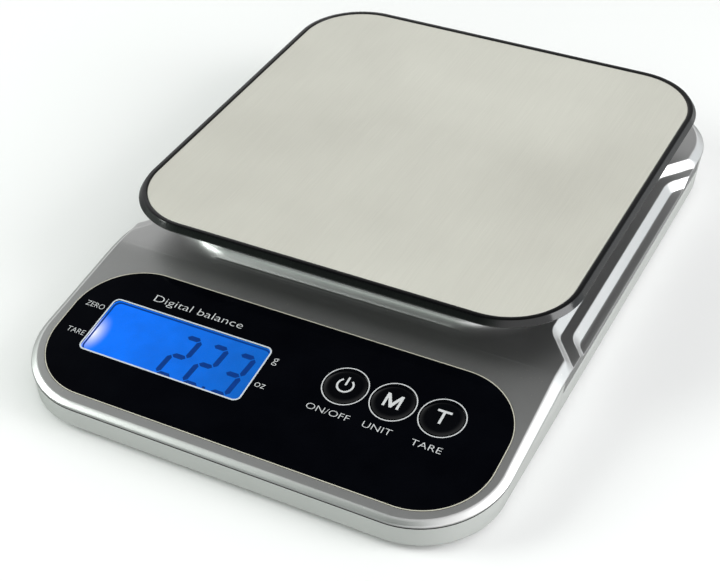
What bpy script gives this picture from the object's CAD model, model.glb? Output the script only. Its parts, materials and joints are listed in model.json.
"""The looks of a digital gram scale, built around its CAD part, in millimetres in the part's frame."""

import json
import math

import bmesh
import bpy
from mathutils import Matrix, Vector
from mathutils.geometry import delaunay_2d_cdt

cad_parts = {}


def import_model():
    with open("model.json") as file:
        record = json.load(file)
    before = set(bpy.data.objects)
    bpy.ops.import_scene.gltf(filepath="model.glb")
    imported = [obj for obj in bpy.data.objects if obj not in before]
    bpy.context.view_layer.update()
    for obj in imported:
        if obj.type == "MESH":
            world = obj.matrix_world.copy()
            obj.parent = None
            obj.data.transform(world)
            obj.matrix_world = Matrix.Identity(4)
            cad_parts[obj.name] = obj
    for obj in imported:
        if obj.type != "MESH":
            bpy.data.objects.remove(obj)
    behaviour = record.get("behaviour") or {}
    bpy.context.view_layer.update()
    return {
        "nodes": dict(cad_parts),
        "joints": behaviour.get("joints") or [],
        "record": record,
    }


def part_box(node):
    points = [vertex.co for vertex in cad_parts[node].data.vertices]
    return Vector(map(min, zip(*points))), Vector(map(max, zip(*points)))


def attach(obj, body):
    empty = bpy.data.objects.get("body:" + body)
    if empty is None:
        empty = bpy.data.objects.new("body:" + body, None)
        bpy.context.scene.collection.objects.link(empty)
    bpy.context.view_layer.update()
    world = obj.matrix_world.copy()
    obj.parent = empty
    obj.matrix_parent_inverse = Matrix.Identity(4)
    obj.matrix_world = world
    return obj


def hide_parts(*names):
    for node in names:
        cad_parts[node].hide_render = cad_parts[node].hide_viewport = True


MM = 0.001
# Edges that turn by more than this many degrees are drawn crisp
SHARP = 35

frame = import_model()


def span(node):
    """Lowest and highest corner of a CAD node, in millimetres."""
    low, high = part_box(node)
    return low / MM, high / MM


# ---- sizes taken from the CAD part ----

shell_high = span("top_housing")[1]
floor_low = span("bottom_housing")[0]
tray_low, tray_high = span("tray_rim")
plate_low, plate_high = span("steel_plate")
lens_low, lens_high = span("display_lens")
panel_low, panel_high = span("panel_overlay")
key_low, key_high = span("key_unit")

KEYS = ["power", "unit", "tare"]
joints = {joint["name"]: joint for joint in frame["joints"]}
press_axis = joints["power_press"]["axis"]
NOSE_SLOPE = math.atan2(press_axis[1], -press_axis[2])

HALF_W = shell_high.x
HALF_D = shell_high.y
CORNER_R = 29
EDGE_R = 0.35
PLATEAU_Z = shell_high.z
COVE_H = 4
COVE_W = 7
DECK_Z = PLATEAU_Z - COVE_H
NOSE_Y = -49.6
CHAMFER_H = 2.6
CHAMFER_W = 2.8
FRONT_CHAMFER_W = 1.6
FOOT_SLOPE = math.radians(6.7)
PARTING_DROP = 0.5
FOOT_Z = floor_low.z
DRAFT = 2
SHELL_T = 2

TRAY_Y = (plate_low.y + plate_high.y) / 2
RIM_FOOT_Z = tray_high.z - 2.7
PLATEAU_W = 124
PLATEAU_D = 140
PLATEAU_R = 20
POST_HOLE_R = 8
POST_REACH = 42

TERRACE_LEVELS = [DECK_Z - 3, DECK_Z - 6]
TERRACE_X = [74.3, 80.5]
TERRACE_FRONT = [-28.5, -25.8]
TERRACE_BACK = [70.3, 68.4]
TERRACE_YAW = math.radians(38)
TERRACE_SLOPE = 3 / 2.5
TERRACE_CORNER_R = 6
SEAM_X = 78
SEAM_FRONT = -47.2
SEAM_BACK = 88.8
SEAM_Z = 13

PANEL_R = 23
PANEL_TOP = 0.1
PANEL_RECESS = 0.7
WINDOW_R = 2.3
LENS_LIP = 1.4
LENS_GAP = 0.05
KEY_GAP = 0.25
KEY_TOP = 0.55
RING_R = 7.7
RING_W = 0.35
INK_H = 0.03
FACE_Z = -PANEL_RECESS + 0.06
SEGMENT_Z = (FACE_Z + 0.005, FACE_Z + 0.02)
# The built-in letters are drawn thinner by this share of their size
STROKE_TRIM = -0.015

BAY_LOW = (-26.5, 82)
BAY_HIGH = (26.5, 107)
HINGE = (83.1, 2.9)
WELL_R = 3
FOOT_PLACES = [(-66, -96), (66, -96), (-66, 100), (66, 100)]
SCREW_PLACES = [(-36, -110.5), (36, -110.5), (-64, -46), (64, -46), (-56, 104), (56, 104)]


# ---- shared geometry ----


def nose(x, y, z):
    """The place of a point on the sloping nose: y along the slope from its back edge, z out of it."""
    cos, sin = math.cos(NOSE_SLOPE), math.sin(NOSE_SLOPE)
    return Vector((x, NOSE_Y + y * cos - z * sin, DECK_Z + y * sin + z * cos))


def on_nose(z):
    """Sets plan points down on the nose at height z."""
    return lambda x, y: nose(x, y, z)


def upright(x, y):
    """Stands the points of a turned shape round an upright axis at x, y."""
    return lambda a, b, z: (x + a, y + b, z)


def nose_y(world_y):
    """Distance along the slope of a point of the nose's surface."""
    return (world_y - NOSE_Y) / math.cos(NOSE_SLOPE)


# The panel, window and keys on the nose. A node's box leans with the slope, which shifts its middle a little
PANEL_LEAN = 0.04
KEY_LEAN = 0.55
KEY_FLANGE = 0.9
PANEL_MIDDLE = nose_y((panel_low.y + panel_high.y) / 2) + PANEL_LEAN
PANEL_HALF_W = panel_high.x
PANEL_HALF_D = (nose_y(panel_high.y) - nose_y(panel_low.y)) / 2
WINDOW = ((lens_low.x + lens_high.x) / 2, nose_y((lens_low.y + lens_high.y) / 2) + PANEL_LEAN)
WINDOW_HALF_W = (lens_high.x - lens_low.x) / 2
WINDOW_HALF_D = (nose_y(lens_high.y) - nose_y(lens_low.y)) / 2
KEY_Y = nose_y((key_low.y + key_high.y) / 2) + KEY_LEAN
KEY_R = (key_high.x - key_low.x) / 2 - KEY_FLANGE


def key_place(name):
    """Middle of a key on the nose."""
    low, high = span("key_" + name)
    return (low.x + high.x) / 2, KEY_Y


def post_places():
    """Where the carrier's four posts stand, in plan."""
    return [(sx * POST_REACH, TRAY_Y + sy * POST_REACH) for sx in (1, -1) for sy in (1, -1)]


def rect_distance(x, y, half_w, half_d, r):
    """Signed distance to a rounded rectangle, negative inside."""
    qx = abs(x) - half_w + r
    qy = abs(y) - half_d + r
    return math.hypot(max(qx, 0), max(qy, 0)) + min(max(qx, qy), 0) - r


def rect_loop(half_w, half_d, r, middle=(0, 0), steps=24):
    """Points round a rounded rectangle, anticlockwise from the right."""
    points = []
    for quarter, (sx, sy) in enumerate([(1, 1), (-1, 1), (-1, -1), (1, -1)]):
        for i in range(steps + 1):
            angle = math.radians(90) * (quarter + i / steps)
            points.append((middle[0] + sx * (half_w - r) + r * math.cos(angle),
                           middle[1] + sy * (half_d - r) + r * math.sin(angle)))
    return points


def circle_loop(x, y, r, steps=48):
    """Points round a circle."""
    turns = [2 * math.pi * i / steps for i in range(steps)]
    return [(x + r * math.cos(a), y + r * math.sin(a)) for a in turns]


def inside(loop, x, y):
    """Whether a point lies inside a closed loop."""
    hit = False
    for (ax, ay), (bx, by) in zip(loop, loop[1:] + loop[:1]):
        if (ay > y) != (by > y) and x < (bx - ax) * (y - ay) / (by - ay) + ax:
            hit = not hit
    return hit


def smooth_min(a, b, k):
    """The lower of two heights, blended where they come within k of each other."""
    overlap = max(k - abs(a - b), 0) / k
    return min(a, b) - overlap * overlap * k / 4


def smooth_max(a, b, k):
    """The higher of two heights, blended where they come within k of each other."""
    return -smooth_min(-a, -b, k)


def triangulate(outline, holes, closed_lines, open_lines):
    """Plan points and triangles of an outline with holes, with the given lines kept as edges. Also returns
    the edges that lie on the outline."""
    points, edges = [], []
    lines = [(line, True) for line in [outline, *holes, *closed_lines]]
    lines += [(line, False) for line in open_lines]
    for line, is_closed in lines:
        first = len(points)
        points += [Vector(p) for p in line]
        edges += [(first + i, first + i + 1) for i in range(len(line) - 1)]
        if is_closed:
            edges.append((first + len(line) - 1, first))
    whole_area, near = 0, 1e-4
    plan, plan_edges, faces, _, sources, _ = delaunay_2d_cdt(points, edges, [], whole_area, near)
    rim = set()
    for edge, source in zip(plan_edges, sources):
        if any(i < len(outline) for i in source):
            rim.add(frozenset(edge))
    kept = []
    for face in faces:
        x = sum(plan[i].x for i in face) / len(face)
        y = sum(plan[i].y for i in face) / len(face)
        if inside(outline, x, y) and not any(inside(hole, x, y) for hole in holes):
            kept.append(face)
    return plan, kept, rim


def as_object(name, bm):
    """Turns a bmesh into an object."""
    mesh = bpy.data.meshes.new(name)
    bm.to_mesh(mesh)
    bm.free()
    obj = bpy.data.objects.new(name, mesh)
    bpy.context.scene.collection.objects.link(obj)
    return obj


def finish_mesh(name, bm, sharp=SHARP):
    """Turns a bmesh in millimetres into a smooth-shaded object with crisp edges."""
    weld = 0.0005
    bmesh.ops.remove_doubles(bm, verts=bm.verts, dist=weld)
    bmesh.ops.dissolve_degenerate(bm, edges=bm.edges, dist=weld)
    bmesh.ops.recalc_face_normals(bm, faces=bm.faces)
    bmesh.ops.scale(bm, vec=(MM, MM, MM), verts=bm.verts)
    obj = as_object(name, bm)
    obj.data.shade_smooth()
    obj.data.set_sharp_from_angle(angle=math.radians(sharp))
    weighted = obj.modifiers.new("weighted", "WEIGHTED_NORMAL")
    weighted.mode = "FACE_AREA"
    weighted.keep_sharp = True
    return obj


def sheet_solid(name, outline, holes, top, under, closed=(), open_lines=(), skirt=None, sharp=SHARP):
    """A closed solid over a plan. top and under place a plan point on the two skins; skirt places the lower
    edge of an outer wall that hangs from the top skin. The plan's edges also follow the closed loops and
    the open lines."""
    plan, faces, rim = triangulate(outline, holes, closed, open_lines)
    bm = bmesh.new()
    upper = [bm.verts.new(top(p.x, p.y)) for p in plan]
    lower = [bm.verts.new(under(p.x, p.y)) for p in plan]
    # A dict, since a set wouldn't keep the order of the edges
    walked = {}
    for face in faces:
        bm.faces.new([upper[i] for i in face])
        bm.faces.new([lower[i] for i in reversed(face)])
        walked.update(dict.fromkeys(zip(face, face[1:] + face[:1])))
    hems = {}
    for a, b in walked:
        if (b, a) in walked:
            continue
        if skirt is None or frozenset((a, b)) not in rim:
            bm.faces.new([upper[b], upper[a], lower[a], lower[b]])
            continue
        for i in (a, b):
            if i not in hems:
                hems[i] = bm.verts.new(skirt(plan[i].x, plan[i].y))
        bm.faces.new([upper[b], upper[a], hems[a], hems[b]])
        bm.faces.new([hems[b], hems[a], lower[a], lower[b]])
    loose = [v for v in bm.verts if not v.link_faces]
    bmesh.ops.delete(bm, geom=loose, context="VERTS")
    return finish_mesh(name, bm, sharp)


def add_rings(bm, rings):
    """Adds a closed solid from a stack of loops with the same number of points, flat at both ends."""
    loops = [[bm.verts.new(p) for p in ring] for ring in rings]
    for below, above in zip(loops, loops[1:]):
        for i in range(len(below)):
            j = (i + 1) % len(below)
            bm.faces.new([below[i], below[j], above[j], above[i]])
    bm.faces.new(loops[-1])
    bm.faces.new(list(reversed(loops[0])))


def ring_solid(name, rings):
    """A closed solid from a stack of loops with the same number of points, flat at both ends."""
    bm = bmesh.new()
    add_rings(bm, rings)
    return finish_mesh(name, bm)


def lathe_solid(name, profile, place, steps=64):
    """A solid of revolution from (radius, height) points, set down by place(x, y, z). A profile that starts
    away from the axis is a closed loop."""
    bm = bmesh.new()
    rings = []
    for r, z in profile:
        if r < 1e-6:
            rings.append([bm.verts.new(place(0, 0, z))])
            continue
        turns = [2 * math.pi * i / steps for i in range(steps)]
        rings.append([bm.verts.new(place(r * math.cos(a), r * math.sin(a), z)) for a in turns])
    if profile[0][0] > 0:
        rings.append(rings[0])
    for below, above in zip(rings, rings[1:]):
        for i in range(steps):
            j = (i + 1) % steps
            corners = [below[i % len(below)], below[j % len(below)]]
            corners += [above[j % len(above)], above[i % len(above)]]
            unique = list(dict.fromkeys(corners))
            if len(unique) > 2:
                bm.faces.new(unique)
    return finish_mesh(name, bm)


def cut(obj, *cutters):
    """Cuts closed solids out of obj and makes the result its own mesh."""
    obj.modifiers.clear()
    for cutter in cutters:
        modifier = obj.modifiers.new("cut", "BOOLEAN")
        modifier.operation = "DIFFERENCE"
        modifier.solver = "EXACT"
        modifier.object = cutter
    bpy.context.view_layer.update()
    mesh = bpy.data.meshes.new_from_object(obj.evaluated_get(bpy.context.evaluated_depsgraph_get()))
    obj.modifiers.clear()
    obj.data = mesh
    mesh.shade_smooth()
    mesh.set_sharp_from_angle(angle=math.radians(SHARP))
    for cutter in cutters:
        bpy.data.objects.remove(cutter)


def box_solid(name, low, high):
    """A box between two corners."""
    loop = [(low[0], low[1]), (high[0], low[1]), (high[0], high[1]), (low[0], high[1])]
    return ring_solid(name, [[(x, y, low[2]) for x, y in loop], [(x, y, high[2]) for x, y in loop]])


def rod_solid(name, x, y, r, low, high):
    """An upright rod."""
    profile = [(0, low), (r, low), (r, high), (0, high)]
    return lathe_solid(name, profile, upright(x, y), steps=48)


def joined(name, parts):
    """One object out of several."""
    bm = bmesh.new()
    for part in parts:
        bm.from_mesh(part.data)
        bpy.data.objects.remove(part)
    return as_object(name, bm)


def soften(obj, width):
    """Rounds the sharp edges of a moulding by a small radius in millimetres."""
    bevel = obj.modifiers.new("soften", "BEVEL")
    bevel.width = width * MM
    bevel.segments = 2
    bevel.limit_method = "ANGLE"
    bevel.angle_limit = math.radians(40)
    return obj


# ---- materials ----


# Where a mix node keeps its two colours and their blend
COLOUR_INPUTS = (6, 7)
COLOUR_OUTPUT = 2


class Nodes:
    """Short names for building a material, or the surroundings, out of nodes."""

    def __init__(self, name, kind=bpy.data.materials, shader="Principled BSDF", output="Material Output"):
        self.material = kind.new(name)
        self.material.use_nodes = True
        self.tree = self.material.node_tree
        self.shader = self.tree.nodes[shader]
        self.output = self.tree.nodes[output]

    def add(self, kind, **inputs):
        node = self.tree.nodes.new(kind)
        for key, value in inputs.items():
            self.put(node, key, value)
        return node

    def put(self, node, key, value):
        """Sets a node's property, or feeds one of its inputs with a value or another node's output."""
        if not isinstance(key, int) and hasattr(node, key):
            setattr(node, key, value)
            return
        socket = node.inputs[key] if isinstance(key, int) else node.inputs[key.replace("_", " ")]
        if isinstance(value, bpy.types.NodeSocket):
            self.tree.links.new(value, socket)
        else:
            socket.default_value = value

    def set(self, key, value):
        self.put(self.shader, key, value)

    def place(self, stretch=(1, 1, 1)):
        """Object coordinates in millimetres, stretched along the axes."""
        coordinates = self.add("ShaderNodeTexCoord").outputs["Object"]
        mapping = self.add("ShaderNodeMapping", Vector=coordinates)
        mapping.inputs["Scale"].default_value = [s / MM for s in stretch]
        return mapping.outputs["Vector"]

    def noise(self, scale, stretch=(1, 1, 1), detail=3, rough=0.5):
        """Noise with about `scale` patches per millimetre."""
        node = self.add("ShaderNodeTexNoise", Vector=self.place(stretch), Scale=scale, Detail=detail,
                        Roughness=rough)
        return node.outputs["Fac"]

    def ramp(self, value, low, high, start, end):
        """Maps a value from low..high to start..end."""
        node = self.add("ShaderNodeMapRange", clamp=True, Value=value)
        for key, number in zip(["From Min", "From Max", "To Min", "To Max"], [low, high, start, end]):
            node.inputs[key].default_value = number
        return node.outputs["Result"]

    def spread(self, noise, start, end):
        """Maps noise, which seldom leaves the middle of its range, to start..end."""
        return self.ramp(noise, 0.3, 0.7, start, end)

    def mix(self, factor, a, b, kind="MIX"):
        """A colour between a and b, or another blend of the two."""
        node = self.add("ShaderNodeMix", data_type="RGBA", blend_type=kind, Factor=factor)
        for socket, colour in zip(COLOUR_INPUTS, (a, b)):
            self.put(node, socket, colour if isinstance(colour, bpy.types.NodeSocket) else (*colour, 1))
        return node.outputs[COLOUR_OUTPUT]

    def math(self, operation, a, b):
        node = self.add("ShaderNodeMath", operation=operation)
        self.put(node, 0, a)
        self.put(node, 1, b)
        return node.outputs[0]

    def bump(self, height, strength, distance=0.05):
        """Bumps up to `distance` millimetres high."""
        node = self.add("ShaderNodeBump", Height=height, Strength=strength, Distance=distance * MM)
        self.set("Normal", node.outputs["Normal"])

    def blend(self, factor, a, b):
        """A shader between the shaders a and b."""
        node = self.add("ShaderNodeMixShader")
        for index, socket in enumerate((factor, a, b)):
            self.put(node, index, socket)
        return node.outputs[0]


def grey(value):
    return (value, value, value)


def silver_paint():
    """Satin metallic paint: fine flakes, a faint orange peel and a few specks of dust."""
    m = Nodes("silver_paint")
    flakes = m.noise(9, detail=2, rough=0.7)
    patches = m.noise(0.03)
    tone = m.math("ADD", m.spread(flakes, -0.05, 0.05), m.spread(patches, 0.60, 0.66))
    colour = m.mix(tone, grey(0.16), (0.90, 0.905, 0.90))
    dust = m.ramp(m.noise(1.1, detail=1), 0.745, 0.77, 0, 0.75)
    m.set("Base Color", m.mix(dust, colour, (0.8, 0.78, 0.74)))
    m.set("Metallic", 1.0)
    m.set("Roughness", m.spread(flakes, 0.34, 0.42))
    m.set("Coat Weight", 0.08)
    m.set("Coat Roughness", 0.15)
    m.bump(m.noise(1.3, detail=2), 0.12, 0.02)
    return m.material


def grey_shell():
    """Light grey moulded plastic with a fine satin texture."""
    m = Nodes("grey_shell")
    tone = m.spread(m.noise(0.05), 0.35, 0.65)
    m.set("Base Color", m.mix(tone, (0.40, 0.415, 0.40), (0.45, 0.465, 0.45)))
    m.set("Specular IOR Level", 0.2)
    m.set("Roughness", m.spread(m.noise(4), 0.36, 0.48))
    m.bump(m.noise(5, detail=4), 0.25, 0.03)
    return m.material


def gloss(name, low, high, roughness, peel=0.06, specular=0.25):
    """Deep gloss plastic with faint moulding waves and hairline rub marks."""
    m = Nodes(name)
    m.set("Base Color", m.mix(m.spread(m.noise(0.08), 0, 1), low, high))
    scuffs = m.noise(0.4, stretch=(6, 0.3, 1), detail=5)
    m.set("Roughness", m.ramp(scuffs, 0.45, 0.8, roughness, roughness + 0.12))
    m.set("Specular IOR Level", specular)
    m.bump(m.noise(0.35, detail=2), peel, 0.05)
    return m.material


def brushed_steel():
    """Pale brushed stainless steel, its fine lines running front to back."""
    m = Nodes("brushed_plate")
    lines = m.noise(1, stretch=(9, 0.05, 1), detail=6, rough=0.75)
    cloud = m.noise(0.012)
    tone = m.math("ADD", m.ramp(lines, 0.25, 0.75, -0.25, 0.25), m.spread(cloud, 0.3, 0.7))
    m.set("Base Color", m.mix(tone, (0.52, 0.505, 0.45), (0.77, 0.76, 0.685)))
    m.set("Metallic", 0.35)
    m.set("Roughness", m.ramp(lines, 0.2, 0.8, 0.42, 0.58))
    m.bump(lines, 0.12, 0.02)
    return m.material


def ink(name, colour):
    """Screen-printed ink, slightly uneven."""
    m = Nodes(name)
    m.set("Base Color", m.mix(m.spread(m.noise(3), 0, 1), tuple(0.9 * c for c in colour), colour))
    m.set("Roughness", m.spread(m.noise(6), 0.35, 0.5))
    m.bump(m.noise(8), 0.2, 0.01)
    return m.material


def clear_lens():
    """A clear window: lets light straight through and reflects a little at grazing angles."""
    m = Nodes("clear_lens")
    through = m.add("ShaderNodeBsdfTransparent", Color=(0.93, 0.95, 0.97, 1)).outputs[0]
    shine = m.add("ShaderNodeBsdfGlossy", Roughness=m.spread(m.noise(0.6), 0.03, 0.07)).outputs[0]
    fresnel = m.add("ShaderNodeFresnel", IOR=1.22).outputs[0]
    front = m.math("SUBTRACT", 1, m.add("ShaderNodeNewGeometry").outputs["Backfacing"])
    m.put(m.output, "Surface", m.blend(m.math("MULTIPLY", fresnel, front), through, shine))
    return m.material


def lit_glass():
    """The lit display: saturated blue, brighter at the lamp end, with a pale spot beside the lamp."""
    m = Nodes("lcd_cell")
    split = m.add("ShaderNodeSeparateXYZ", Vector=m.place())
    across = m.ramp(split.outputs["X"], lens_low.x, lens_high.x, 0, 1)
    blue = m.mix(across, (0.0, 0.155, 0.86), (0.0, 0.105, 0.46))
    lamp = m.add("ShaderNodeVectorMath", operation="DISTANCE")
    m.put(lamp, 0, m.place(LAMP_STRETCH))
    lamp.inputs[1].default_value = tuple(a * b for a, b in zip(LAMP, LAMP_STRETCH))
    glow = m.ramp(lamp.outputs["Value"], 0.5, 7.5, 1, 0)
    spot = m.math("POWER", glow, 1.8)
    veil = m.spread(m.noise(0.12, detail=2), 1.2, 1.4)
    m.set("Base Color", grey(0.01) + (1,))
    m.set("Emission Color", m.mix(spot, blue, (0.85, 0.83, 1.0)))
    m.set("Emission Strength", veil)
    m.set("Roughness", m.spread(m.noise(2), 0.25, 0.35))
    m.set("Specular IOR Level", 0.05)
    return m.material


def liquid_crystal():
    """The dark segments of the display."""
    m = Nodes("lcd_segment")
    tone = m.spread(m.noise(0.5), 0, 1)
    m.set("Base Color", grey(0.005) + (1,))
    m.set("Emission Color", m.mix(tone, (0.0, 0.04, 0.24), (0.0, 0.046, 0.28)))
    m.set("Emission Strength", m.spread(m.noise(3), 0.95, 1.05))
    m.set("Specular IOR Level", 0.05)
    return m.material


def plain(name, low, high, metallic=0.0, roughness=(0.4, 0.55), grain=4.0, bump=0.2, stretch=(1, 1, 1)):
    """An everyday finish: cloudy colour between two tones, with its own grain in roughness and bump."""
    m = Nodes(name)
    m.set("Base Color", m.mix(m.spread(m.noise(0.3, stretch), 0, 1), low, high))
    m.set("Metallic", metallic)
    m.set("Roughness", m.spread(m.noise(grain, stretch), *roughness))
    m.bump(m.noise(grain, stretch), bump, 0.03)
    return m.material


def glowing(name, colour, strength):
    """A light guide that glows softly."""
    m = Nodes(name)
    m.set("Base Color", m.mix(m.noise(0.3), colour, tuple(0.9 * c for c in colour)))
    m.set("Emission Color", (*colour, 1))
    m.set("Emission Strength", m.spread(m.noise(0.2), 0.9 * strength, strength))
    m.set("Roughness", m.spread(m.noise(2), 0.3, 0.5))
    return m.material


LAMP_STRETCH = (1.3, 0.8, 1)
LAMP = tuple(nose(lens_low.x + 0.8, nose_y(lens_low.y) + 8, -0.65))

FINISHES = {
    "silver_paint": silver_paint(),
    "grey_shell": grey_shell(),
    "panel_gloss": gloss("panel_gloss", (0.0008, 0.001, 0.002), (0.0015, 0.0018, 0.003), 0.05, specular=0.1),
    "key_gloss": gloss("key_gloss", (0.001, 0.0012, 0.002), (0.002, 0.0022, 0.003), 0.06),
    "tray_gloss": gloss("tray_gloss", (0.0012, 0.0013, 0.0018), (0.0025, 0.0026, 0.003), 0.12, peel=0.01,
                        specular=0.5),
    "clear_lens": clear_lens(),
    "lcd_cell": lit_glass(),
    "black_plastic": plain("black_plastic", grey(0.012), grey(0.02)),
    "white_plastic": plain("white_plastic", (0.74, 0.73, 0.70), (0.82, 0.81, 0.78)),
    "carrier_plastic": plain("carrier_plastic", grey(0.17), grey(0.22)),
    "light_guide": glowing("light_guide", (0.25, 0.45, 1.0), 0.4),
    "elastomer": plain("elastomer", (0.55, 0.22, 0.30), (0.65, 0.27, 0.36)),
    "circuit_board": plain("circuit_board", (0.01, 0.10, 0.035), (0.02, 0.16, 0.06), grain=1.5),
    "epoxy": plain("epoxy", grey(0.01), grey(0.02), roughness=(0.15, 0.3), grain=0.6),
    "ceramic_chips": plain("ceramic_chips", (0.22, 0.14, 0.08), (0.34, 0.24, 0.15)),
    "gauge_foil": plain("gauge_foil", (0.55, 0.30, 0.08), (0.70, 0.42, 0.14), metallic=0.3),
    "sealant": plain("sealant", (0.72, 0.72, 0.68), (0.84, 0.84, 0.80), roughness=(0.25, 0.4), grain=0.8),
    "wire_sleeve": plain("wire_sleeve", (0.45, 0.02, 0.02), (0.60, 0.04, 0.03)),
    "cell_jacket": plain("cell_jacket", (0.02, 0.13, 0.05), (0.04, 0.22, 0.09), roughness=(0.25, 0.35)),
    "plated_steel": plain("plated_steel", grey(0.55), grey(0.68), metallic=1, roughness=(0.2, 0.35),
                          grain=2),
    "beam_aluminium": plain("beam_aluminium", (0.62, 0.63, 0.64), (0.74, 0.75, 0.76), metallic=1,
                            roughness=(0.28, 0.42), grain=3, stretch=(6, 0.3, 1)),
    "brushed_plate": brushed_steel(),
    "rubber": plain("rubber", grey(0.012), grey(0.022), roughness=(0.6, 0.8)),
}
PRINT_WHITE = ink("print_white", (0.62, 0.63, 0.64))
PRINT_BORDER = ink("print_border", (0.56, 0.54, 0.45))
PRINT_LINE = ink("print_line", (0.58, 0.62, 0.66))
SEGMENT = liquid_crystal()


def dress(obj, body, slot, *nodes, material=None):
    """Gives a piece its finish and body, and hides the CAD nodes it stands for."""
    obj.data.materials.clear()
    obj.data.materials.append(material or FINISHES[slot])
    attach(obj, body)
    if nodes:
        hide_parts(*nodes)


# ---- top shell ----


def ahead_of_fold(y):
    """Distance in front of the line where the nose starts, blended softly over the fold."""
    fold = 1.5
    ahead = (NOSE_Y - y) / fold
    return fold * (ahead if ahead > 30 else math.log1p(math.exp(ahead)))


def deck_height(y):
    """The deck: level at the back, sloping down over a softened fold at the front."""
    return DECK_Z - math.tan(NOSE_SLOPE) * ahead_of_fold(y)


def foot_height(y):
    """The foot of the chamfer, which slopes down less than the nose."""
    return DECK_Z - CHAMFER_H - math.tan(FOOT_SLOPE) * ahead_of_fold(y)


def chamfer_width(y):
    """Width of the chamfer: even along the back and sides, narrowing towards the front."""
    share = min(max((NOSE_Y - y) / (NOSE_Y + HALF_D), 0), 1)
    return CHAMFER_W + (FRONT_CHAMFER_W - CHAMFER_W) * share


def parting_height(x, y):
    """Height of the line where the two shells meet."""
    if abs(x) > SEAM_X and SEAM_FRONT < y < SEAM_BACK:
        return SEAM_Z
    return foot_height(y) - PARTING_DROP


def terrace_distance(x, y, step):
    """How far a point lies outside a terrace's floor, in plan."""
    u = TERRACE_X[step] - abs(x)
    ends = [(-1, TERRACE_FRONT[step]), (1, TERRACE_BACK[step])]
    distances = []
    for sign, end in ends:
        w = sign * (y - end)
        leg = w * math.sin(TERRACE_YAW) + u * math.cos(TERRACE_YAW)
        cu = u + TERRACE_CORNER_R
        cw = w + TERRACE_CORNER_R * math.tan(TERRACE_YAW / 2)
        if cu > 0 and 0 <= cw <= cu * math.tan(TERRACE_YAW):
            distances.append(math.hypot(cu, cw) - TERRACE_CORNER_R)
        else:
            distances.append(max(u, leg))
    return max(distances)


def terrace_line(side, step, away):
    """The plan of a terrace's edge at a given distance outside its floor, out past the housing's side."""
    line = []
    reach = 24
    for sign, end in [(-1, TERRACE_FRONT[step]), (1, TERRACE_BACK[step])]:
        part = []
        r = TERRACE_CORNER_R + away
        cx = TERRACE_X[step] + TERRACE_CORNER_R
        cy = end - sign * TERRACE_CORNER_R * math.tan(TERRACE_YAW / 2)
        for i in range(9):
            angle = TERRACE_YAW * i / 8
            part.append((side * (cx - r * math.cos(angle)), cy + sign * r * math.sin(angle)))
        x, y = part[-1]
        part.append((x + side * reach * math.sin(TERRACE_YAW), y + sign * reach * math.cos(TERRACE_YAW)))
        line = (list(reversed(part)) if sign < 0 else line + part)
    return line


def deck_surface(x, y):
    """Height of the top shell before its recesses: deck, bright chamfer, terraces and the plateau's cove."""
    inset = -rect_distance(x, y, HALF_W, HALF_D, CORNER_R)
    z = deck_height(y)
    foot = foot_height(y)
    z = smooth_min(z, foot + inset * (z - foot) / chamfer_width(y), 0.5)
    for step, level in enumerate(TERRACE_LEVELS):
        riser = level + TERRACE_SLOPE * terrace_distance(x, y, step)
        z = smooth_min(z, smooth_max(level, riser, 0.4), 0.4)
    away = rect_distance(x, y - TRAY_Y, PLATEAU_W / 2, PLATEAU_D / 2, PLATEAU_R)
    if away < COVE_W:
        swing = 1 - max(away, 0) / COVE_W
        z = PLATEAU_Z - COVE_H * math.sqrt(max(1 - swing ** 2, 0))
    lip = max(EDGE_R - inset, 0)
    return z - EDGE_R + math.sqrt(max(EDGE_R ** 2 - lip ** 2, 0))


def outward(x, y):
    """Unit vector straight out of the housing's outline, in plan."""
    step = 0.01
    housing = (HALF_W, HALF_D, CORNER_R)
    gx = rect_distance(x + step, y, *housing) - rect_distance(x - step, y, *housing)
    gy = rect_distance(x, y + step, *housing) - rect_distance(x, y - step, *housing)
    length = math.hypot(gx, gy) or 1
    return gx / length, gy / length


def drawn_in(x, y, amount):
    """Moves a plan point near the outline inwards: by the whole amount at the outline, fading away inside."""
    fade = 8
    inset = -rect_distance(x, y, HALF_W, HALF_D, CORNER_R)
    shift = amount * max(1 - inset / fade, 0)
    nx, ny = outward(x, y)
    return x - shift * nx, y - shift * ny


def wall_inset(x, y, z):
    """How far the wall has drawn in at height z. The front wall stands upright."""
    top = foot_height(y)
    draft = DRAFT * (1 + min(outward(x, y)[1], 0))
    return draft * max(top - z, 0) / (top - FOOT_Z)


def in_recess(x, y):
    """Whether a point of the deck lies in the panel's recess."""
    gap = 0.1
    return rect_distance(x, nose_y(y) - PANEL_MIDDLE, PANEL_HALF_W + gap, PANEL_HALF_D + gap, PANEL_R) < 0


def window_loop(grow, steps=8):
    """The display window's outline on the nose, moved outwards by grow."""
    return rect_loop(WINDOW_HALF_W + grow, WINDOW_HALF_D + grow, WINDOW_R + grow, WINDOW, steps)


def on_plan(loop):
    """A loop given on the nose, as seen from above."""
    return [(x, NOSE_Y + y * math.cos(NOSE_SLOPE)) for x, y in loop]


def shell_outline():
    """The widest outline of the housing, with extra points where the seam and the fold cross its sides."""
    gap = 0.03
    extra = [y + d for y in (SEAM_FRONT, SEAM_BACK) for d in (-gap, gap)]
    extra = sorted(extra + [NOSE_Y - 4, NOSE_Y - 1, NOSE_Y + 1, NOSE_Y + 3])
    loop = rect_loop(HALF_W, HALF_D, CORNER_R, steps=28)
    right = [(HALF_W, y) for y in extra]
    left = [(-HALF_W, y) for y in reversed(extra)]
    half = len(loop) // 2
    return loop[:half] + left + loop[half:] + right


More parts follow.
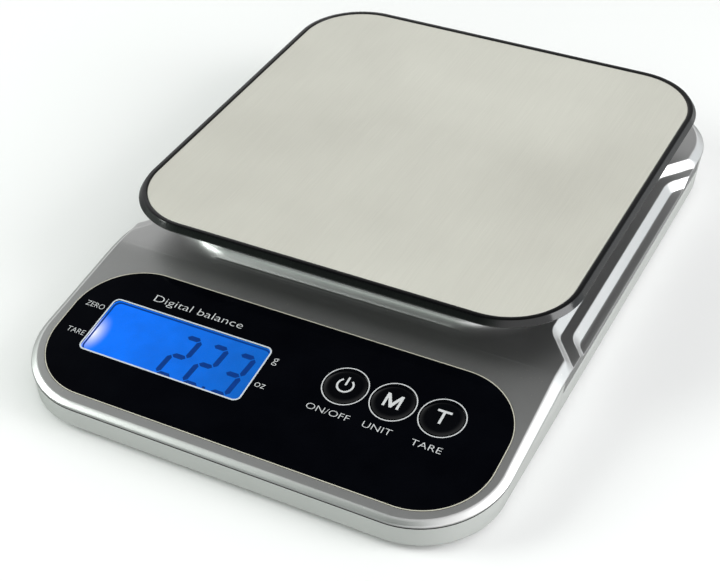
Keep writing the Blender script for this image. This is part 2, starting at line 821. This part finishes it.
def inset_loop(amount):
    """A loop inside the outline, at a distance that may change with y."""
    loop = []
    for x, y in shell_outline():
        nx, ny = outward(x, y)
        distance = amount(y)
        loop.append((x - nx * distance, y - ny * distance))
    return loop


def top_shell():
    """The silver top of the housing, one closed moulding."""
    closed = [inset_loop(lambda y, inset=inset: inset) for inset in (0.12, 0.35)]
    for away in (-0.5, -0.25, 0, 0.25, 0.5):
        closed.append(inset_loop(lambda y, away=away: chamfer_width(y) + away))
    for away in (0, 0.06, 0.25, 0.6, 1.1, 1.7, 2.4, 3.2, 4.1, 5.0, 6.0, COVE_W):
        half_w, half_d = PLATEAU_W / 2 + away, PLATEAU_D / 2 + away
        closed.append(rect_loop(half_w, half_d, PLATEAU_R + away, (0, TRAY_Y), 16))
    lines = [[(-HALF_W - 2, NOSE_Y + i), (HALF_W + 2, NOSE_Y + i)] for i in range(-6, 7)]
    for side in (1, -1):
        for step in (0, 1):
            lines += [terrace_line(side, step, away) for away in (-0.35, 0, 0.35, 2.15, 2.5, 2.85)]
    window = on_plan(window_loop(-LENS_LIP, steps=6))
    keys = [on_plan(circle_loop(key_place(name)[0], KEY_Y, KEY_R + KEY_GAP)) for name in KEYS]
    posts = [circle_loop(x, y, POST_HOLE_R) for x, y in post_places()]
    for grow in (0.08, 0.12):
        loop = rect_loop(PANEL_HALF_W + grow, PANEL_HALF_D + grow, PANEL_R, (0, PANEL_MIDDLE), 24)
        closed.append(on_plan(loop))

    def top(x, y):
        z = deck_surface(x, y)
        if in_recess(x, y):
            z -= PANEL_RECESS
        return (*drawn_in(x, y, wall_inset(x, y, z)), z)

    def under(x, y):
        parting = parting_height(x, y)
        z = max(deck_surface(x, y) - SHELL_T, parting)
        return (*drawn_in(x, y, SHELL_T + wall_inset(x, y, parting)), z)

    def skirt(x, y):
        z = parting_height(x, y)
        return (*drawn_in(x, y, wall_inset(x, y, z)), z)

    holes = [window, *keys, *posts]
    shell = sheet_solid("top_shell", shell_outline(), holes, top, under, closed, lines, skirt, sharp=28)
    dress(shell, "base", "silver_paint", "top_housing")


# ---- bottom shell ----


def bottom_shell():
    """The light grey tub: floor, drawn-in walls and a fine groove under the parting line."""
    groove = 0.5
    edge_r = 1.2
    outline = shell_outline()

    def ring(lean, height):
        points = []
        for x, y in outline:
            z = height(x, y)
            points.append((*drawn_in(x, y, wall_inset(x, y, z) + lean), z))
        return points

    def rim(x, y):
        return parting_height(x, y) - groove

    rings = []
    for turn in (0, 30, 60, 90):
        a = math.radians(turn)
        rings.append(ring(edge_r * (1 - math.sin(a)), lambda x, y, a=a: FOOT_Z + edge_r * (1 - math.cos(a))))
    rings.append(ring(0.05, lambda x, y: rim(x, y) - 0.25))
    rings.append(ring(0.08, rim))
    rings.append(ring(SHELL_T - 0.2, rim))
    rings.append(ring(SHELL_T, lambda x, y: FOOT_Z + SHELL_T))
    return ring_solid("bottom_shell", rings)


def darken_groove(tub):
    """The flat top of the tub's wall lies in shadow, so it gets the dark plastic."""
    tub.data.materials.append(FINISHES["black_plastic"])
    for face in tub.data.polygons:
        if face.normal.z > 0.7 and face.center.z > (FOOT_Z + 2 * SHELL_T) * MM:
            face.material_index = 1


def hollow_tub(tub):
    """Opens the battery bay, the foot seats, the screw wells and the door's hinge sockets in the floor."""
    below = FOOT_Z - 1
    above = FOOT_Z + SHELL_T + 1
    openings = [box_solid("bay_opening", (*BAY_LOW, below), (*BAY_HIGH, above))]
    seat_r, seat_top = 6.1, FOOT_Z + 0.6
    beam_well_r, beam_well_top = 3.8, FOOT_Z + 1.6
    stop_hole_y, stop_hole_r = 66, 1.52
    openings += [rod_solid("foot_seat", x, y, seat_r, below, seat_top) for x, y in FOOT_PLACES]
    openings += [rod_solid("screw_well", x, y, WELL_R, below, above) for x, y in SCREW_PLACES]
    openings += [rod_solid("beam_well", 0, y, beam_well_r, below, beam_well_top) for y in (-4, 6)]
    openings.append(rod_solid("stop_hole", 0, stop_hole_y, stop_hole_r, below, above))
    hinge_y, hinge_z = HINGE
    reach, pin_r = 27.5, 0.85
    sockets = lathe_solid("hinge_sockets", [(0, -reach), (pin_r, -reach), (pin_r, reach), (0, reach)],
                          lambda a, b, z: (z, hinge_y + a, hinge_z + b), steps=24)
    cut(tub, joined("openings", openings), sockets)


def bay_walls():
    """The battery bay's own walls and roof, inside the tub."""
    wall = 1.5
    roof = 15.2
    floor_z = FOOT_Z + SHELL_T - 0.1
    bay = box_solid("battery_bay", (BAY_LOW[0] - wall, BAY_LOW[1] - wall, floor_z),
                    (BAY_HIGH[0] + wall, BAY_HIGH[1] + wall, roof + wall))
    cut(bay, box_solid("bay_room", (*BAY_LOW, FOOT_Z), (*BAY_HIGH, roof)))
    dress(soften(bay, 0.25), "base", "grey_shell")


def screw_bosses():
    """The collars that the housing screws pull against."""
    head_z = FOOT_Z + 2.4
    top = 7
    bore_r = 1.45
    collar_r = 4
    floor_z = FOOT_Z + SHELL_T - 0.1
    profile = [(WELL_R, floor_z), (collar_r, floor_z), (collar_r, top), (bore_r, top), (bore_r, head_z),
               (WELL_R, head_z)]
    for index, (x, y) in enumerate(SCREW_PLACES):
        name = f"screw_boss_{index + 1}"
        dress(lathe_solid(name, profile, upright(x, y), steps=40), "base", "grey_shell")


top_shell()
tub = bottom_shell()
hollow_tub(tub)
dress(tub, "base", "grey_shell", "bottom_housing")
darken_groove(tub)
bay_walls()
screw_bosses()


# ---- tray and plate ----


def tray():
    """The black tray that carries the steel plate: a thin slab with a rolled rim and a seat for it."""
    half = (tray_high.x - tray_low.x) / 2
    seat = plate_high.x + 0.1
    flare = 1.1
    r = 26.6
    top = tray_high.z
    lip = half - seat
    rolled_foot = [(0.9, RIM_FOOT_Z), (0.25, RIM_FOOT_Z + 0.2), (0, RIM_FOOT_Z + 0.7)]
    rolled_top = [(flare - 0.12, top - 0.45), (flare + 0.12, top - 0.12), (flare + 0.5, top)]
    plate_seat = [(lip - 0.35, top), (lip - 0.1, top - 0.1), (lip, top - 0.35), (lip, plate_low.z)]
    rings = []
    for inset, z in rolled_foot + rolled_top + plate_seat:
        loop = rect_loop(half - inset, half - inset, r - inset, (0, TRAY_Y), 24)
        rings.append([(x, y, z) for x, y in loop])
    dress(ring_solid("tray", rings), "platform", "tray_gloss", "tray_rim")


def tray_underside():
    """Stiffening ribs and the four sockets that drop over the rubber bumpers."""
    rib_h = 3
    rib_w = 2
    edge = 0.3
    half = 66
    r = 18
    socket_h = 4.5
    overlap = 0.02
    top = RIM_FOOT_Z + overlap
    outer = rect_loop(half, half, r, (0, TRAY_Y), 12)
    inner = rect_loop(half - rib_w, half - rib_w, r - rib_w, (0, TRAY_Y), 12)
    frame_rib = sheet_solid("tray_rib_frame", outer, [inner], lambda x, y: (x, y, top),
                            lambda x, y: (x, y, RIM_FOOT_Z - rib_h))
    dress(soften(frame_rib, edge), "platform", "tray_gloss")
    for name, half_x, half_y in (("across", half - 1, rib_w / 2), ("along", rib_w / 2, half - 1)):
        low = (-half_x, TRAY_Y - half_y, RIM_FOOT_Z - rib_h)
        rib = box_solid("tray_rib_" + name, low, (half_x, TRAY_Y + half_y, top))
        dress(soften(rib, edge), "platform", "tray_gloss")
    bore_r, wall_r = 6.5, 8.5
    socket_z = RIM_FOOT_Z - socket_h
    profile = [(bore_r, socket_z), (wall_r, socket_z), (wall_r, top), (bore_r, top)]
    for index, (x, y) in enumerate(post_places()):
        name = f"tray_socket_{index + 1}"
        dress(soften(lathe_solid(name, profile, upright(x, y)), edge), "platform", "tray_gloss")


def plate():
    """The brushed plate, with a softly rolled edge."""
    half = plate_high.x
    r = 23.5
    rings = []
    for drop, inset in [(plate_high.z - plate_low.z, 0.1), (0.35, 0), (0.15, 0.06), (0.04, 0.2), (0, 0.45)]:
        loop = rect_loop(half - inset, half - inset, r - inset, (0, TRAY_Y), 24)
        rings.append([(x, y, plate_high.z - drop) for x, y in loop])
    dress(ring_solid("plate", rings), "platform", "brushed_plate", "steel_plate")


tray()
tray_underside()
plate()


# ---- control panel ----


def panel_loop(grow):
    """The panel's outline on the nose, moved outwards by grow."""
    return rect_loop(PANEL_HALF_W + grow, PANEL_HALF_D + grow, PANEL_R + grow, (0, PANEL_MIDDLE))


def panel():
    """The glossy overlay, a thin sheet with holes for the window and the keys."""
    roll_w, roll_h = 0.5, 0.2
    collar_w, collar_h = 0.15, 0.06
    near = 0.02
    hole_r = KEY_R + KEY_GAP
    xs = [key_place(name)[0] for name in KEYS]
    rings = [panel_loop(-inset) for inset in (0.06, 0.2, roll_w)]
    window = rect_loop(WINDOW_HALF_W + LENS_GAP, WINDOW_HALF_D + LENS_GAP, WINDOW_R, WINDOW, 8)
    keys = [circle_loop(x, KEY_Y, hole_r) for x in xs]
    collars = [circle_loop(x, KEY_Y, hole_r + collar_w) for x in xs]

    def top(x, y):
        inset = -rect_distance(x, y - PANEL_MIDDLE, PANEL_HALF_W, PANEL_HALF_D, PANEL_R)
        at_hole = any(math.hypot(x - key_x, y - KEY_Y) - hole_r < near for key_x in xs)
        drop = roll_h * max(1 - inset / roll_w, 0) ** 2 + (collar_h if at_hole else 0)
        return nose(x, y, PANEL_TOP - drop)

    closed = [*rings, *collars]
    sheet = sheet_solid("panel", panel_loop(0), [window, *keys], top, on_nose(-PANEL_RECESS), closed)
    dress(sheet, "base", "panel_gloss", "panel_overlay")


panel()


def print_ribbon(name, outer, inner, z, material, height=INK_H):
    """A thin printed band between two loops on the nose."""
    band = sheet_solid(name, outer, [inner], on_nose(z + height), on_nose(z))
    dress(band, "base", "panel_gloss", material=material)


def window_line():
    """The pale line printed round the display window."""
    outside, inside_edge = 0.15, 0.37
    outer = window_loop(outside, steps=12)
    inner = window_loop(-inside_edge, steps=12)
    print_ribbon("window_line", outer, inner, PANEL_TOP, PRINT_LINE)


def border_line():
    """The fine beige line along the edge of the panel."""
    width = 0.3
    depth = 0.12
    foot = PANEL_TOP - depth
    print_ribbon("border_line", panel_loop(0), panel_loop(-width), foot, PRINT_BORDER, height=depth)


window_line()
border_line()


def lettering(name, words, x, y, cap, width=None):
    """Generic lettering printed flat on the panel, centred on a point. cap is the height of a capital."""
    curve = bpy.data.curves.new(name, "FONT")
    curve.body = words
    curve.size = 1
    curve.resolution_u = 4
    curve.offset = STROKE_TRIM
    source = bpy.data.objects.new(name + "_source", curve)
    bpy.context.scene.collection.objects.link(source)
    bpy.context.view_layer.update()
    mesh = bpy.data.meshes.new_from_object(source.evaluated_get(bpy.context.evaluated_depsgraph_get()))
    bpy.data.objects.remove(source)
    bm = bmesh.new()
    bm.from_mesh(mesh)
    bpy.data.meshes.remove(mesh)
    cap_share = 0.73
    scale = cap / cap_share
    xs = [v.co.x for v in bm.verts]
    middle = (min(xs) + max(xs)) / 2
    squeeze = width / ((max(xs) - min(xs)) * scale) if width else 1
    for v in bm.verts:
        across = x + (v.co.x - middle) * scale * squeeze
        v.co = nose(across, y + (v.co.y - cap_share / 2) * scale, PANEL_TOP + INK_H)
    extruded = bmesh.ops.extrude_face_region(bm, geom=list(bm.faces))
    down = nose(0, 0, 0) - nose(0, 0, INK_H)
    upper = {v for v in extruded["geom"] if isinstance(v, bmesh.types.BMVert)}
    bmesh.ops.translate(bm, vec=down, verts=[v for v in bm.verts if v not in upper])
    dress(finish_mesh(name, bm), "base", "panel_gloss", material=PRINT_WHITE)


# Name, words, middle, height of a capital and width
for label in [
    ("label_title", "Digital balance", -37.3, -18.4, 3.1, 34.1),
    ("label_zero", "ZERO", -71.6, -28.9, 2.3, 7.0),
    ("label_tare", "TARE", -71.2, -41.2, 2.3, 6.8),
    ("label_gram", "g", -2.9, -27.1, 3.4),
    ("label_ounce", "oz", -2.6, -38.2, 3.0),
    ("label_power", "ON/OFF", 22.2, -39.9, 2.5, 14.9),
    ("label_unit", "UNIT", 39.2, -39.9, 2.5, 9.8),
    ("label_tare_key", "TARE", 56.0, -40.4, 2.5, 10.2),
]:
    lettering(*label)


# ---- keys ----


def key(name):
    """A glossy domed key cap, and the ring printed round it on the panel."""
    x = key_place(name)[0]
    foot, flange = -2.9, -2.1
    side_top = -0.12
    dome_r = 0.988 * KEY_R
    dome_drop = 0.45
    fullness = 9
    steps = 8
    skirt_r = KEY_R + KEY_FLANGE
    profile = [(0, foot), (skirt_r, foot), (skirt_r, flange), (KEY_R, flange), (KEY_R, side_top)]
    for i in range(steps + 1):
        r = dome_r * (1 - i / steps)
        profile.append((r, KEY_TOP - dome_drop * (r / KEY_R) ** fullness))
    cap = lathe_solid(f"key_{name}_cap", profile, lambda a, b, z: nose(x + a, KEY_Y + b, z))
    dress(cap, "button_" + name, "key_gloss", "key_" + name)
    outer, inner = circle_loop(x, KEY_Y, RING_R), circle_loop(x, KEY_Y, RING_R - RING_W)
    print_ribbon("ring_" + name, outer, inner, PANEL_TOP, PRINT_WHITE)


for name in KEYS:
    key(name)


def printed_mark(name, loop, body):
    """A flat printed shape on top of a key."""
    sunk, proud = 0.02, 0.01
    mark = sheet_solid(name, loop, [], on_nose(KEY_TOP + proud), on_nose(KEY_TOP - sunk))
    dress(mark, body, "key_gloss", material=PRINT_WHITE)


def power_mark():
    """A broken ring with an upright bar: the common symbol for power."""
    x = key_place("power")[0]
    r_out, r_in = 2.95, 2.3
    half_gap = math.radians(36)
    steps = 40
    arc = [math.pi / 2 + half_gap + (2 * math.pi - 2 * half_gap) * i / steps for i in range(steps + 1)]
    outer = [(x + r_out * math.cos(a), KEY_Y + r_out * math.sin(a)) for a in arc]
    inner = [(x + r_in * math.cos(a), KEY_Y + r_in * math.sin(a)) for a in reversed(arc)]
    half_w = 0.33
    low, high = KEY_Y + 0.1, KEY_Y + 3.5
    bar = [(x - half_w, low), (x + half_w, low), (x + half_w, high), (x - half_w, high)]
    printed_mark("mark_power_ring", outer + inner, "button_power")
    printed_mark("mark_power_bar", bar, "button_power")


def mirrored(points):
    """The same points on the left side, in reverse order."""
    return [(-x, y) for x, y in reversed(points)]


def letter_marks():
    """The plain capitals on the other two keys, drawn as strokes."""
    half_h, stroke = 2.7, 0.85
    w = 2.8
    notch = 1.9
    half_m = [(w, -half_h), (w, half_h), (w - 1.15 * stroke, half_h), (0, notch - half_h)]
    inner_m = [(0.42 * stroke, -half_h), (w - stroke, half_h - notch), (w - stroke, -half_h)]
    letter_m = half_m + mirrored(half_m[:-1]) + mirrored(inner_m) + inner_m
    w = 2.4
    half_t = [(stroke / 2, -half_h), (stroke / 2, half_h - stroke), (w, half_h - stroke), (w, half_h)]
    for name, letter in (("unit", letter_m), ("tare", half_t + mirrored(half_t))):
        x = key_place(name)[0]
        printed_mark("mark_" + name, [(x + a, KEY_Y + b) for a, b in letter], "button_" + name)


power_mark()
letter_marks()


# ---- display ----


def display():
    """The lens and the lit glass under it."""
    rings = []
    for inset, z in [(0, FACE_Z + 0.04), (0, PANEL_TOP - 0.1), (0.08, PANEL_TOP)]:
        rings.append([nose(x, y, z) for x, y in window_loop(-inset)])
    dress(ring_solid("lens", rings), "base", "clear_lens", "display_lens")
    loop = rect_loop(WINDOW_HALF_W - LENS_GAP, WINDOW_HALF_D - LENS_GAP, WINDOW_R, WINDOW, 8)
    levels = (-PANEL_RECESS + 0.01, FACE_Z)
    face = ring_solid("display_face", [[nose(x, y, z) for x, y in loop] for z in levels])
    dress(face, "base", "lcd_cell")


display()

# The bars of a figure: how far across and up the middle of each lies
LEVEL_BARS = {"a": (0.5, 1), "g": (0.5, 0.5), "d": (0.5, 0)}
UPRIGHT_BARS = {"b": (1, 0.75), "c": (1, 0.25), "e": (0, 0.25)}
DIGITS = {"2": "abged", "3": "abgcd"}


def digit(name, figure, x, y):
    """One seven-segment figure on the lit glass; x, y is its bottom left corner."""
    width, height = 5.5, 17.0
    slant = math.tan(math.radians(5))
    gap = 0.28
    t = 0.95  # half a bar's stroke
    bm = bmesh.new()
    for bar in DIGITS[figure]:
        is_level = bar in LEVEL_BARS
        across, up = (LEVEL_BARS if is_level else UPRIGHT_BARS)[bar]
        cx, cy = across * width, up * height
        end = (width / 2 if is_level else height / 4) - gap
        shape = [(-end, 0), (-end + t, -t), (end - t, -t), (end, 0), (end - t, t), (-end + t, t)]
        if not is_level:
            shape = [(-b, a) for a, b in shape]
        points = [(x + cx + a + slant * (cy + b), y + cy + b) for a, b in shape]
        add_rings(bm, [[nose(*point, z) for point in points] for z in SEGMENT_Z])
    dress(finish_mesh(name, bm), "base", "lcd_cell", material=SEGMENT)


FIRST_DIGIT = (-37.0, -46.1)
DIGIT_PITCH = 10.1
for index, figure in enumerate("223"):
    digit(f"digit_{index + 1}", figure, FIRST_DIGIT[0] + DIGIT_PITCH * index, FIRST_DIGIT[1])


def window_shade():
    """The dark shadow of the panel's edge along the top and left of the lit glass."""
    edge = 0.45
    width = 0.35
    shift = 0.9 * width
    half_w, half_d = WINDOW_HALF_W - edge, WINDOW_HALF_D - edge
    outer = rect_loop(half_w, half_d, WINDOW_R, WINDOW, 8)
    middle = (WINDOW[0] + shift, WINDOW[1] - shift)
    inner = rect_loop(half_w - width, half_d - width, WINDOW_R - 0.1, middle, 8)
    low, high = SEGMENT_Z
    shade = sheet_solid("window_shade", outer, [inner], on_nose(high), on_nose(low))
    dress(shade, "base", "lcd_cell", material=SEGMENT)


window_shade()


def decimal_point():
    """The small square point between the second and third figure."""
    x, y = -19.3, -46.0
    half = 0.55
    loop = [(x - half, y - half), (x + half, y - half), (x + half, y + half), (x - half, y + half)]
    rings = [[nose(px, py, z) for px, py in loop] for z in SEGMENT_Z]
    dress(ring_solid("decimal_point", rings), "base", "lcd_cell", material=SEGMENT)


decimal_point()

# ---- finishes of the CAD nodes that stay visible ----

SLOTS = {row["node"]: row["material_slot"] for row in frame["record"]["subparts"]}
for node, obj in frame["nodes"].items():
    obj.data.materials.clear()
    obj.data.materials.append(FINISHES[SLOTS[node]])

# ---- stage ----


def emitter(name, location, target, size, strength, colour=(1, 1, 1)):
    """A large soft area light aimed at a point."""
    light = bpy.data.lights.new(name, "AREA")
    light.shape = "RECTANGLE"
    light.size, light.size_y = (s * MM for s in size)
    light.energy = strength
    light.color = colour
    obj = bpy.data.objects.new(name, light)
    obj.location = Vector(location) * MM
    obj.rotation_mode = "QUATERNION"
    obj.rotation_quaternion = (Vector(target) - Vector(location)).to_track_quat("-Z", "Y")
    bpy.context.scene.collection.objects.link(obj)


# Tone of the floor in glossy reflections, on the left and on the right
FLOOR_IN_REFLECTIONS = (grey(0.28), grey(0.95))


def floor():
    """A plain pale floor, clear when seen from underneath."""
    bm = bmesh.new()
    bmesh.ops.create_circle(bm, cap_ends=True, segments=96, radius=3000)
    obj = finish_mesh("floor", bm)
    m = Nodes("floor")
    m.set("Base Color", m.mix(m.noise(0.004), grey(0.86), grey(0.9)))
    m.set("Roughness", m.spread(m.noise(0.02), 0.85, 0.95))
    across = m.add("ShaderNodeSeparateXYZ", Vector=m.place()).outputs["X"]
    left, right = 90, 190
    tone = m.mix(m.ramp(across, left, right, 0, 1), *FLOOR_IN_REFLECTIONS)
    dim = m.add("ShaderNodeBsdfDiffuse", Color=tone).outputs[0]
    rays = m.add("ShaderNodeLightPath")
    top = m.blend(rays.outputs["Is Glossy Ray"], m.shader.outputs[0], dim)
    from_below = m.math("GREATER_THAN", rays.outputs["Transparent Depth"], 0.5)
    seen_below = m.math("MAXIMUM", from_below, m.add("ShaderNodeNewGeometry").outputs["Backfacing"])
    clear = m.add("ShaderNodeBsdfTransparent").outputs[0]
    m.put(m.output, "Surface", m.blend(seen_below, top, clear))
    obj.data.materials.append(m.material)


def camera():
    """The camera at the picture's viewing angle."""
    data = bpy.data.cameras.new("camera")
    data.sensor_width = 36
    data.lens = 77.3
    data.clip_start, data.clip_end = 0.02, 20
    obj = bpy.data.objects.new("camera", data)
    eye, aim = Vector((197.02, -390.67, 342.23)), Vector((6.61, -36.73, 20.0))
    obj.location = eye * MM
    obj.rotation_mode = "QUATERNION"
    level = (aim - eye).to_track_quat("-Z", "Y")
    roll = Matrix.Rotation(math.radians(-1.8), 4, "Z").to_quaternion()
    obj.rotation_quaternion = level @ roll
    bpy.context.scene.collection.objects.link(obj)
    bpy.context.scene.camera = obj


# The parts of the surroundings that are dimmer: a direction, then (how nearly one looks that way, brightness)
DIM_PATCHES = [
    ((-0.30, 0.40, 0.87), [(0.60, grey(0.95)), (0.88, grey(0.72)), (0.94, grey(0.22)), (0.985, grey(0.03))]),
    ((-0.05, 0.80, 0.60), [(0.89, grey(1.0)), (0.95, grey(0.55)), (0.99, grey(0.22))]),
    ((-0.25, -0.68, 0.69), [(0.80, grey(1.0)), (0.90, (0.36, 0.41, 0.37)), (0.96, grey(0.02))]),
    ((0.69, 0.69, 0.25), [(0.80, grey(1.0)), (0.97, (0.70, 0.74, 0.76))]),
    ((-0.80, -0.50, 0.10), [(0.0, grey(1.0)), (0.35, grey(0.85)), (0.8, (0.50, 0.56, 0.52))]),
]


def world():
    """Soft white surroundings, dimmer where the glossy faces look."""
    m = Nodes("studio", bpy.data.worlds, "Background", "World Output")
    bpy.context.scene.world = m.material
    direction = m.add("ShaderNodeTexCoord").outputs["Generated"]
    colour = grey(1)
    for aim, stops in DIM_PATCHES:
        toward = m.add("ShaderNodeVectorMath", operation="DOT_PRODUCT")
        m.put(toward, 0, direction)
        m.put(toward, 1, Vector(aim).normalized())
        fade = m.add("ShaderNodeValToRGB", Fac=toward.outputs["Value"])
        elements = fade.color_ramp.elements
        elements[0].position, elements[0].color = stops[0][0], (*stops[0][1], 1)
        elements[1].position, elements[1].color = stops[-1][0], (*stops[-1][1], 1)
        for position, shade in stops[1:-1]:
            elements.new(position).color = (*shade, 1)
        colour = m.mix(1, colour, fade.outputs["Color"], "MULTIPLY")
    m.set("Color", colour)
    m.set("Strength", 1.38)


floor()
camera()
world()
emitter("key_light", (-950, -480, 620), (0, 0, 0), (600, 600), 8, (0.95, 1, 0.96))
emitter("side_light", (900, 100, 400), (0, 0, 0), (500, 700), 5.5)
bpy.context.scene.view_settings.view_transform = "Standard"
